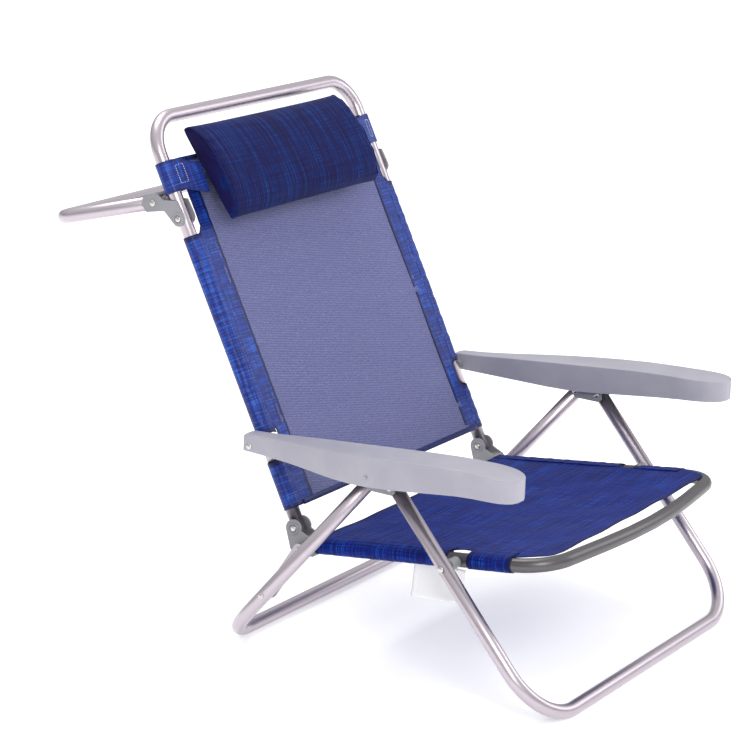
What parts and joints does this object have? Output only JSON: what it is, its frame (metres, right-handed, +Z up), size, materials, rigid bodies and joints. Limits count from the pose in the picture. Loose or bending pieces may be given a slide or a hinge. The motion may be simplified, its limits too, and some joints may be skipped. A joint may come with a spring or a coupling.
{
  "type": "folding beach chair",
  "caption": "Low folding beach chair with bent tube frames, textile seat and mesh back, armrests, half-round headrest and a rear bar that is a handle and a bed leg.",
  "frame": {"origin": "on the ground, under the middle of the chair's length and width", "axes": "+X to the sitter's left, +Y behind the chair, +Z up"},
  "size_m": [0.664, 0.8927, 0.7406],
  "materials": {
    "aluminium": "satin anodised",
    "grey_tube": "satin grey coating",
    "rivet": "polished",
    "link_bar": "satin anodised",
    "arm_moulding": "fine moulded texture",
    "grey_moulding": "moulded",
    "seat_textile": "coated woven textile",
    "back_mesh": "open coated mesh",
    "pillow_textile": "woven textile, streaky",
    "strap_textile": "coated woven textile",
    "label": "plain woven tape"
  },
  "bodies": {
    "seat": {"seat_frame": "grey_tube", "seat_rear_bar": "grey_tube", "seat_fabric": "seat_textile", "care_label": "label", "seat_spacer_left": "grey_moulding", "seat_spacer_right": "grey_moulding", "seat_pivot_rivet_left": "rivet", "seat_pivot_rivet_right": "rivet", "hinge_bracket_left": "grey_moulding", "hinge_bracket_right": "grey_moulding", "link_upper_rivet_left": "rivet", "link_upper_rivet_right": "rivet"},
    "hinge_pins": {"hinge_rivet_left": "rivet", "hinge_rivet_right": "rivet"},
    "backrest": {"backrest_frame": "aluminium", "back_fabric": "back_mesh"},
    "armrest_pins": {"armrest_bush_left": "grey_moulding", "armrest_bush_right": "grey_moulding", "armrest_rivet_left": "rivet", "armrest_rivet_right": "rivet"},
    "armrests": {"armrest_left": "arm_moulding", "armrest_right": "arm_moulding", "armrest_rack_left": "grey_moulding", "armrest_rack_right": "grey_moulding"},
    "front_legs": {"front_leg_frame": "aluminium"},
    "leg_blocks": {"leg_block_left": "grey_moulding", "leg_block_right": "grey_moulding", "block_front_rivet_left": "rivet", "block_front_rivet_right": "rivet", "block_rear_rivet_left": "rivet", "block_rear_rivet_right": "rivet"},
    "rear_legs": {"rear_leg_frame": "aluminium", "link_lower_rivet_left": "rivet", "link_lower_rivet_right": "rivet"},
    "rear_links": {"rear_link_left": "link_bar", "rear_link_right": "link_bar"},
    "support_bar": {"support_bar": "aluminium", "support_bracket_left": "grey_moulding", "support_bracket_right": "grey_moulding", "support_pivot_rivet_left": "rivet", "support_pivot_rivet_right": "rivet", "support_fixed_rivet_left": "rivet", "support_fixed_rivet_right": "rivet"},
    "headrest": {"headrest_pillow": "pillow_textile", "pillow_strap_left": "strap_textile", "pillow_strap_right": "strap_textile"}
  },
  "joints": [
    {"name": "recline", "type": "hinge", "parent": "seat", "child": "hinge_pins", "pos_m": [0, -0.00783, 0.1887], "axis": [1, 0, 0], "range_deg": [-59, 0]},
    {"name": "fold", "type": "hinge", "parent": "hinge_pins", "child": "backrest", "pos_m": [0, -0.00783, 0.1887], "axis": [1, 0, 0], "range_deg": [0, 109]},
    {"name": "armrest_tilt", "type": "hinge", "parent": "backrest", "child": "armrest_pins", "pos_m": [0, 0.05139, 0.30443], "axis": [1, 0, 0], "range_deg": [0, 40.5]},
    {"name": "armrest_fold", "type": "hinge", "parent": "armrest_pins", "child": "armrests", "pos_m": [0, 0.05139, 0.30443], "axis": [1, 0, 0], "range_deg": [-121, 0.5]},
    {"name": "front_leg_fold", "type": "hinge", "parent": "seat", "child": "front_legs", "pos_m": [0, -0.27354, 0.19865], "axis": [1, 0, 0], "range_deg": [-0.5, 109.5]},
    {"name": "block_turn", "type": "hinge", "parent": "front_legs", "child": "leg_blocks", "pos_m": [0, -0.18892, 0.29668], "axis": [1, 0, 0], "range_deg": [-88, 0.5]},
    {"name": "rear_leg_fold", "type": "hinge", "parent": "leg_blocks", "child": "rear_legs", "pos_m": [0, -0.15192, 0.29668], "axis": [1, 0, 0], "range_deg": [-0.5, 6.5]},
    {"name": "rear_link_swing", "type": "hinge", "parent": "seat", "child": "rear_links", "pos_m": [0, -0.02684, 0.16486], "axis": [1, 0, 0], "range_deg": [-119, 0.5]},
    {"name": "support_bar_swing", "type": "hinge", "parent": "backrest", "child": "support_bar", "pos_m": [0, 0.20309, 0.60087], "axis": [1, 0, 0], "range_deg": [-100, 0]},
    {"name": "headrest_slide", "type": "slide", "parent": "backrest", "child": "headrest", "axis": [0, 0.4555, 0.8902], "range_m": [0, 0.006]}
  ],
  "couplings": [
    {"joint": "armrest_tilt", "follows": "recline", "ratio": -0.67797},
    {"joint": "armrest_fold", "follows": "fold", "ratio": -1.1009},
    {"joint": "front_leg_fold", "follows": "fold", "ratio": 1},
    {"joint": "block_turn", "follows": "fold", "ratio": -0.79817},
    {"joint": "rear_leg_fold", "follows": "fold", "ratio": 0.05055},
    {"joint": "rear_link_swing", "follows": "fold", "ratio": -1.0805}
  ]
}
